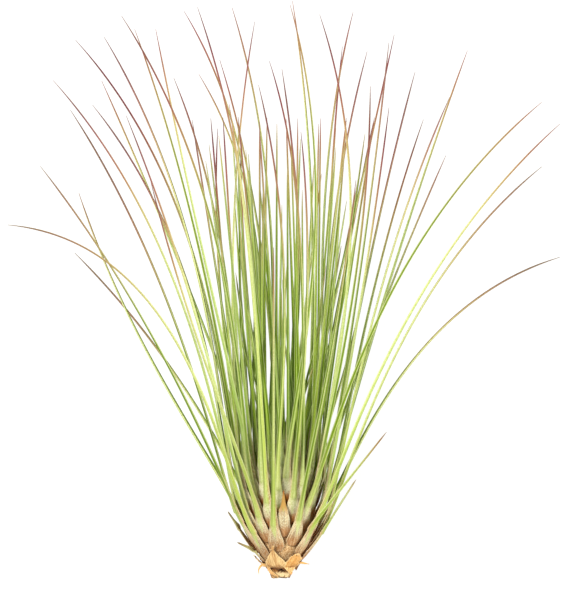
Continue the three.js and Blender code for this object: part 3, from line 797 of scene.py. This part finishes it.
# Fibre is the distance across the fibres and reach the distance along them, both in millimetres
dry, start, shader = new_material("dry papery sheath", **{"Roughness": 0.7, "Specular IOR Level": 0.15})
fibre, reach, tone, grey, rim, inner_face = map(
    start.attribute, ("fibre", "reach", "tone", "grey", "rim", "inner_face")
)
strands = start.noise(start.vector(fibre * 2.6, reach * 0.14, tone * 50), detail=4)
hairs = start.noise(start.vector(fibre * 7.0, reach * 0.3, tone * 70), detail=2)
blotches = start.noise(start.place((0.22, 0.22, 0.22)), detail=3)
straw = strands.step(0.3, 0.65).mix(STRAW_BROWN, STRAW_PALE)
straw = (hairs.step(0.56, 0.7) * 0.6).mix(straw, HAIR_BROWN)
straw = (blotches.step(0.5, 0.66) * 0.5).mix(straw, BLOTCH_ORANGE)
straw = (grey * strands.step(0.25, 0.6)).mix(straw, WEATHERED_GREY)
straw = ((tone * 10).math("PINGPONG", 1.0).step(0.6, 0.9) * 0.55).mix(straw, HONEY)
straw = ((reach * -0.12 + blotches).step(0.3, 0.62) * 0.75).mix(straw, ROOT_BROWN)
straw = (rim.step(0.7, 1.0) * 0.7).mix(straw, TORN_RIM)
# Painted shade: inner faces of plates and flaps, and the whole neck ring, in deep brown
straw = (inner_face * 0.9).mix(straw, PAPER_SHADE_BROWN)
height = strands * 0.6 + hairs * 0.4
start.fill(shader, {"Base Color": straw, "Normal": bumped(start, height, 0.3)})


def dry_radius(along):
    """Inner radius of a plate that stands up: the bulb's, a clearance and the lap of its sheaths."""
    return bulb_radius(along) + DRY_CLEAR + SHEATH_LAP * np.maximum(along - ROOT_LOW, 0)


def hanging_radius(along):
    """Inner radius of a flap that hangs over the stub."""
    return HANGING_RADIUS + HANGING_FLARE * along


def plate_skin(plate, root_along, radius_at, sunk, seed):
    """Points, faces and values of a torn plate that bends round the stem.

    Along it p goes from 0 to 1 and its half width is w (1 - p)^narrowing, torn by straight lines between
    random knots. Round its section s = -cos a goes from edge to edge and back, and its thickness falls to
    its edges as (1 - s^2)^0.4. A soft relief crumples it, and its edges curl outwards as s^2 p (1 - p / 2).
    """
    direction, half_width, tip_along, lean, narrowing, weathered = plate
    p = np.linspace(0, 1, PLATE_ROWS)[:, None]
    turn = 2 * np.pi * np.arange(PLATE_SIDES)[None, :] / PLATE_SIDES * np.sign(tip_along - root_along)
    s, lift = -np.cos(turn), np.sin(turn)
    torn = np.where(s > 0, ragged(0.9 * p, 13, seed), ragged(0.9 * p, 11, seed + 40))
    half = half_width * np.maximum((1 - p) ** narrowing, PLATE_END) * (1 + TORN_ASIDE * torn * p**0.5)
    angle_here = np.radians(direction + lean * p**2 + s * half)
    torn_end = TORN_END * ragged(0.45 * (s + 1), 7, seed + 80) * p**3
    along_here = root_along + (tip_along - root_along) * p + torn_end * (tip_along > root_along)
    crumple = CRUMPLED * rolling(2.2 * s + 1, 5 * p, seed + 9) * np.minimum(4 * p, 1)
    curl = CURLED * s**2 * p * (1 - 0.5 * p)
    middle = radius_at(along_here) - sunk * (1 - p) ** 8 + DRY_MIDDLE + crumple + curl
    thickness = PAPER_HALF_THICKNESS * np.maximum(1 - s**2, 1e-6) ** 0.4 * (1 - 0.6 * p)
    radius_here = middle + thickness * np.sign(np.round(lift, 6))
    flat = [radius_here * np.cos(angle_here), along_here, radius_here * np.sin(angle_here)]
    skin = laid(np.stack(flat, axis=-1).reshape(-1, 3)).reshape(PLATE_ROWS, PLATE_SIDES, 3)
    points = with_poles(skin, skin[0].mean(axis=0), skin[-1].mean(axis=0))
    ones = np.ones_like(radius_here)
    border = np.maximum(np.abs(s), (p - 0.7) / 0.3) * ones
    values = {
        "fibre": with_poles(radius_here * np.radians(s * half), 0, 0),
        "reach": with_poles(np.abs(tip_along - root_along) * p * ones, 0, 0),
        "tone": with_poles(seed / 20 * ones, seed / 20, seed / 20),
        "grey": with_poles(weathered * ones, 0, weathered),
        "rim": with_poles(border, 0, 1),
        "inner_face": with_poles((lift < -1e-6) * ones, 0, 0),
    }
    return points, closed_skin(PLATE_ROWS, PLATE_SIDES), values


def strip_path(knots, count):
    """Points on a Catmull-Rom spline through the knots.

    Between b and c, with a before them and d after them, a point at t from 0 to 1 is
    0.5 (2 b + (c - a) t + (2 a - 5 b + 4 c - d) t^2 + (3 b - a - 3 c + d) t^3).
    """
    ends = np.array([2 * np.array(knots[0]) - knots[1], *knots, 2 * np.array(knots[-1]) - knots[-2]])
    travel = np.linspace(0, len(knots) - 1, count)
    k = np.minimum(travel.astype(int), len(knots) - 2)
    t = (travel - k)[:, None]
    a, b, c, d = ends[k], ends[k + 1], ends[k + 2], ends[k + 3]
    return 0.5 * (2 * b + (c - a) * t + (2 * a - 5 * b + 4 * c - d) * t**2 + (3 * b - a - 3 * c + d) * t**3)


def strip_skin(knots, seed):
    """Points, faces and values of a torn strip: a flat oval section, narrowing to a point along its path."""
    path = strip_path(knots, STRIP_ROWS)
    forward = np.gradient(path, axis=0)
    forward /= np.linalg.norm(forward, axis=1, keepdims=True)
    aside = np.cross(forward, (0, 0, 1))
    aside /= np.linalg.norm(aside, axis=1, keepdims=True)
    above = np.cross(aside, forward)
    p = np.linspace(0, 1, STRIP_ROWS)[:, None]
    turn = 2 * np.pi * np.arange(STRIP_SIDES)[None, :] / STRIP_SIDES
    half = STRIP_HALF_WIDTH * (1 - 0.9 * p) * (1 + 0.3 * ragged(p, 9, seed) * (1 - p))
    thick = STRIP_THICKNESS / 2 * (1 - 0.75 * p)
    ring = aside[:, None] * (half * np.cos(turn))[..., None]
    ring = ring + above[:, None] * (thick * np.sin(turn))[..., None]
    skin = laid((path[:, None] + ring).reshape(-1, 3)).reshape(STRIP_ROWS, STRIP_SIDES, 3)
    points = with_poles(skin, skin[0].mean(axis=0), skin[-1].mean(axis=0))
    ones = np.ones((STRIP_ROWS, STRIP_SIDES))
    values = {
        "fibre": with_poles(half * np.cos(turn), 0, 0),
        "reach": with_poles(STRIP_LENGTH * p * ones, 0, STRIP_LENGTH),
        "tone": with_poles(seed / 20 * ones, 0, 0),
        "grey": with_poles(0 * ones, 0, 0),
        "rim": with_poles(np.abs(np.cos(turn)) * ones * 0.9, 0, 1),
        "inner_face": with_poles(0 * ones, 0, 0),
    }
    return points, closed_skin(STRIP_ROWS, STRIP_SIDES), values


for number, plate in enumerate(PLATES, 1):
    points, faces, values = plate_skin(plate, DRY_ROOT, dry_radius, DRY_SUNK, number)
    add_piece(f"dry_plate_{number}", in_frame(points), faces, dry, "dry_sheath", "dry_sheaths", **values)
for number, flap in enumerate(FLAPS, 1):
    points, faces, values = plate_skin(flap, HANGING_ROOT, hanging_radius, 0, 10 + number)
    add_piece(f"hanging_flap_{number}", in_frame(points), faces, dry, "dry_sheath", "dry_sheaths", **values)
for number, knots in enumerate(STRIPS, 1):
    points, faces, values = strip_skin(knots, 20 + number)
    add_piece(f"curled_strip_{number}", in_frame(points), faces, dry, "dry_sheath", "dry_sheaths", **values)

# The ring that they grow from: a section of radius and along, carried round the stem, torn at its lower edge
NECK_PROFILE = np.array([(6.6, 5.4), (7, 4.6), (7.6, 5.4), (8.4, 7), (7.7, 7.6), (6.6, 7), (6.6, 5.4)])
NECK_LOW = 4.6
NECK_TORN_UP_TO = 5.6
NECK_LUMPS = 0.25
NECK_TURNS = 160
NECK_SIDES = 24

corner = np.linspace(0, NECK_SIDES, len(NECK_PROFILE))
neck_radius = np.interp(np.arange(NECK_SIDES), corner, NECK_PROFILE[:, 0])[None, :]
neck_along = np.interp(np.arange(NECK_SIDES), corner, NECK_PROFILE[:, 1])[None, :]
turn = np.arange(NECK_TURNS)[:, None] / NECK_TURNS
lower = np.clip((NECK_TORN_UP_TO - neck_along) / 0.8, 0, 1)
neck_along = neck_along + lower * (0.5 * ragged(turn, 31, 31) + 0.4 * ragged(turn, 13, 32))
neck_radius = neck_radius + NECK_LUMPS * rolling(40 * turn, neck_along, 33)
neck_points = round_stem(neck_radius, neck_along, turn).reshape(-1, 3)
grid = np.arange(NECK_TURNS * NECK_SIDES).reshape(NECK_TURNS, NECK_SIDES)
after, beside = np.roll(grid, -1, axis=0), np.roll(grid, -1, axis=1)
neck_faces = np.stack([grid, after, np.roll(after, -1, axis=1), beside], axis=-1).reshape(-1, 4).tolist()
ones = np.ones(NECK_TURNS * NECK_SIDES)
# The ring is painted dark brown all over, as the shade in the hollows round the neck
add_piece(
    "neck_ring", in_frame(neck_points), neck_faces, dry, "dry_sheath", "dry_sheaths",
    fibre=(2 * np.pi * turn * neck_radius).reshape(-1), reach=(neck_along - NECK_LOW).reshape(-1),
    tone=0.7 * ones, grey=0.3 * ones, rim=(lower + 0 * turn).reshape(-1) * 0.9, inner_face=0.9 * ones,
)


# Floor and light: a plain pale table that glows softly, as for a picture on white, under a soft box
# overhead to the left and a weaker one low to the right, in a pale room. Places here are in metres.
FLOOR_HALF = 6
FLOOR_DEEP = 0.0001  # under the plant, so that the two don't flicker
FLOOR_GREY = (96, 96, 96)
FLOOR_GLOW = 0.93
ROOM_COLOUR = (1, 0.98, 0.88, 1)
ROOM_LIGHT = 0.46
BOX_COLOUR = (1.0, 0.97, 0.88)
# Each soft box: its place, how wide it is, and its power in watts
BOXES = {"left": ((-0.9, 0.4, 2.1), 0.6, 58), "right": ((1.7, -0.6, 0.7), 1.2, 24)}

floor_mesh = bpy.data.meshes.new("floor")
corners = [(FLOOR_HALF * x, FLOOR_HALF * y, -FLOOR_DEEP) for x, y in ((-1, -1), (1, -1), (1, 1), (-1, 1))]
floor_mesh.from_pydata(corners, [], [(0, 1, 2, 3)])
floor = bpy.data.objects.new("floor", floor_mesh)
bpy.context.scene.collection.objects.link(floor)
pale, start, shader = new_material("pale floor", Roughness=0.9)
start.fill(shader, {"Base Color": colour(*FLOOR_GREY), "Emission Color": (1, 1, 1, 1)})
start.fill(shader, {"Emission Strength": FLOOR_GLOW})
floor_mesh.materials.append(pale)

world = bpy.data.worlds.new("studio")
world.use_nodes = True
world.node_tree.nodes["Background"].inputs["Color"].default_value = ROOM_COLOUR
world.node_tree.nodes["Background"].inputs["Strength"].default_value = ROOM_LIGHT
bpy.context.scene.world = world
bpy.context.scene.view_settings.view_transform = "Standard"

for name, (spot, size, power) in BOXES.items():
    light = bpy.data.lights.new(f"{name} soft box", "AREA")
    light.shape = "DISK"
    light.size = size
    light.energy = power
    light.color = BOX_COLOUR
    box = bpy.data.objects.new(f"{name} soft box", light)
    box.location = spot
    box.rotation_euler = (-box.location).to_track_quat("-Z", "Y").to_euler()
    bpy.context.scene.collection.objects.link(box)


# Camera: straight above the lying plant and far from it, as the photograph looks at it. A pixel has its
# length near the plant's middle height, and the stem's broken end has its place in the picture.
PIXEL = 0.48
IMAGE_WIDTH = 577
IMAGE_HEIGHT = 600
STEM_PIXEL_ACROSS = 282
STEM_PIXEL_DOWN = 580
CAMERA_HEIGHT = 8.0  # in metres, as is the height at which the pixel's length holds
FOCUS_HEIGHT = 0.05
SENSOR = 36.0

camera = bpy.data.cameras.new("camera")
camera.sensor_width = SENSOR
camera.lens = SENSOR * (CAMERA_HEIGHT - FOCUS_HEIGHT) / (IMAGE_HEIGHT * PIXEL * MM)
viewer = bpy.data.objects.new("camera", camera)
middle_across = (IMAGE_WIDTH / 2 - STEM_PIXEL_ACROSS) * PIXEL - REST_ACROSS
middle_along = (STEM_PIXEL_DOWN - IMAGE_HEIGHT / 2) * PIXEL - REST_ALONG
viewer.location = (middle_across * MM, middle_along * MM, CAMERA_HEIGHT)
bpy.context.scene.collection.objects.link(viewer)
bpy.context.scene.camera = viewer
